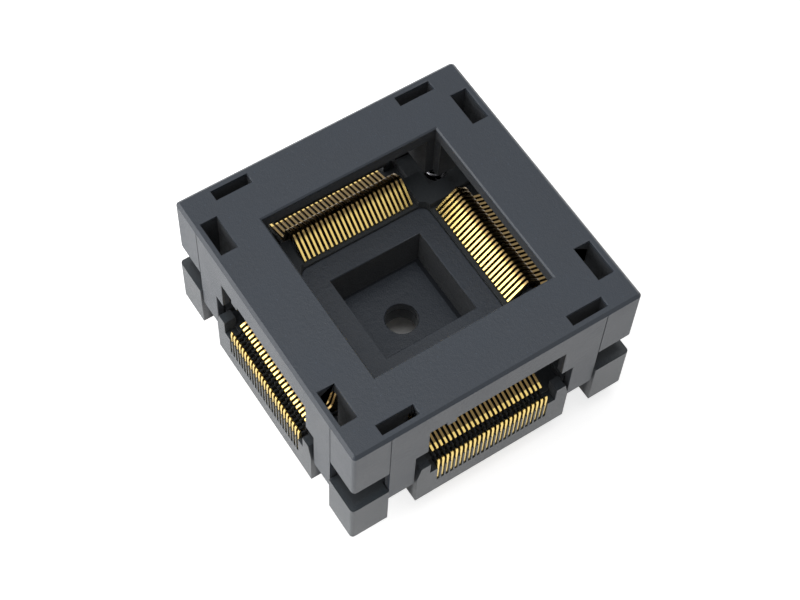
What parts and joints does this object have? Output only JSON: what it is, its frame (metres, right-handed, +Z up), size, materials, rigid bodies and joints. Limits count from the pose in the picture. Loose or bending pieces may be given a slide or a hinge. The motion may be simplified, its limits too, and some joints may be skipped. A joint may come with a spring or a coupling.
{
  "type": "ic test socket",
  "caption": "Square open-top test socket for a fine-pitch flat-pack chip, with a press-down frame cover, spring contacts on four sides and solder tails.",
  "frame": {"origin": "centre of the socket, at the ends of its solder tails", "axes": "+Z up out of the open top, +X to the right and +Y to the back along the cover's edges"},
  "size_m": [0.0308, 0.0308, 0.0194],
  "materials": {
    "base": "matte moulded",
    "nest": "matte moulded",
    "cover": "matte moulded",
    "spring": "bright drawn wire",
    "contact_arm": "gold plated",
    "contact": "gold plated"
  },
  "bodies": {
    "base": {"base": "base", "ic_nest": "nest", "front_left_spring": "spring", "front_right_spring": "spring", "back_left_spring": "spring", "back_right_spring": "spring", "front_contacts_a": "contact", "front_contacts_b": "contact", "front_contacts_c": "contact", "front_contacts_d": "contact", "right_contacts_a": "contact", "right_contacts_b": "contact", "right_contacts_c": "contact", "right_contacts_d": "contact", "back_contacts_a": "contact", "back_contacts_b": "contact", "back_contacts_c": "contact", "back_contacts_d": "contact", "left_contacts_a": "contact", "left_contacts_b": "contact", "left_contacts_c": "contact", "left_contacts_d": "contact"},
    "cover": {"cover": "cover"},
    "front_arms": {"front_contact_arms": "contact_arm"},
    "right_arms": {"right_contact_arms": "contact_arm"},
    "back_arms": {"back_contact_arms": "contact_arm"},
    "left_arms": {"left_contact_arms": "contact_arm"}
  },
  "joints": [
    {"name": "cover_slide", "type": "slide", "parent": "base", "child": "cover", "axis": [0, 0, 1], "range_m": [-0.0025, 0], "stiffness_N_per_m": 1500, "springref_m": 0.002, "deforming": ["front_left_spring", "front_right_spring", "back_left_spring", "back_right_spring"]},
    {"name": "front_arm_turn", "type": "hinge", "parent": "base", "child": "front_arms", "pos_m": [0, -0.0104, 0.009], "axis": [1, 0, 0], "range_deg": [0, 23]},
    {"name": "right_arm_turn", "type": "hinge", "parent": "base", "child": "right_arms", "pos_m": [0.0104, 0, 0.009], "axis": [0, 1, 0], "range_deg": [0, 23]},
    {"name": "back_arm_turn", "type": "hinge", "parent": "base", "child": "back_arms", "pos_m": [0, 0.0104, 0.009], "axis": [1, 0, 0], "range_deg": [-23, 0]},
    {"name": "left_arm_turn", "type": "hinge", "parent": "base", "child": "left_arms", "pos_m": [-0.0104, 0, 0.009], "axis": [0, 1, 0], "range_deg": [-23, 0]}
  ],
  "couplings": [
    {"joint": "front_arm_turn", "follows": "cover_slide", "rad_per_m": -160.57},
    {"joint": "right_arm_turn", "follows": "cover_slide", "rad_per_m": -160.57},
    {"joint": "back_arm_turn", "follows": "cover_slide", "rad_per_m": 160.57},
    {"joint": "left_arm_turn", "follows": "cover_slide", "rad_per_m": 160.57}
  ]
}
